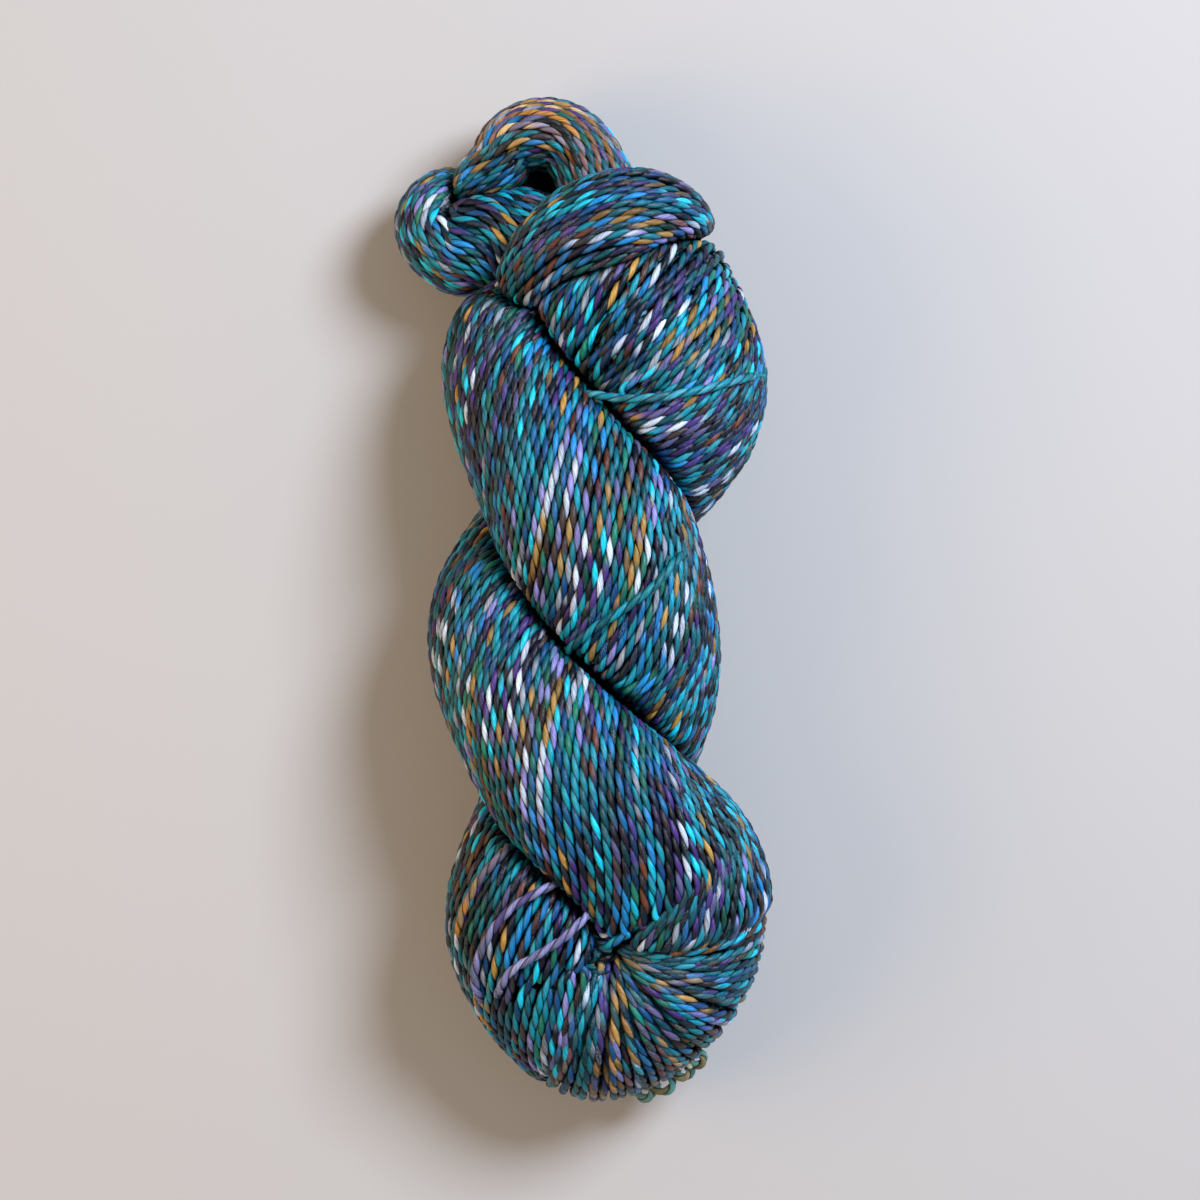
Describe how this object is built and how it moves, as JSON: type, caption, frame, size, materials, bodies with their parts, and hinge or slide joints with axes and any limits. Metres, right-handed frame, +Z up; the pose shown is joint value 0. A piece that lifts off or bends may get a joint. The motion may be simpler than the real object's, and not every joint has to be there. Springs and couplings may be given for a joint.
{
  "type": "skein of yarn",
  "caption": "Twisted hank of marled two-ply knitting yarn, folded on itself and locked by its own end loop, lying flat.",
  "frame": {"origin": "centre of the hank's length and width, on the surface it rests on", "axes": "+Z up from the surface, +Y along the hank towards its locked end, +X to the right seen from above"},
  "size_m": [0.0951, 0.2523, 0.0683],
  "materials": {
    "yarn": "soft sheen"
  },
  "bodies": {
    "root": {"yarn_hank": "yarn"}
  },
  "joints": []
}
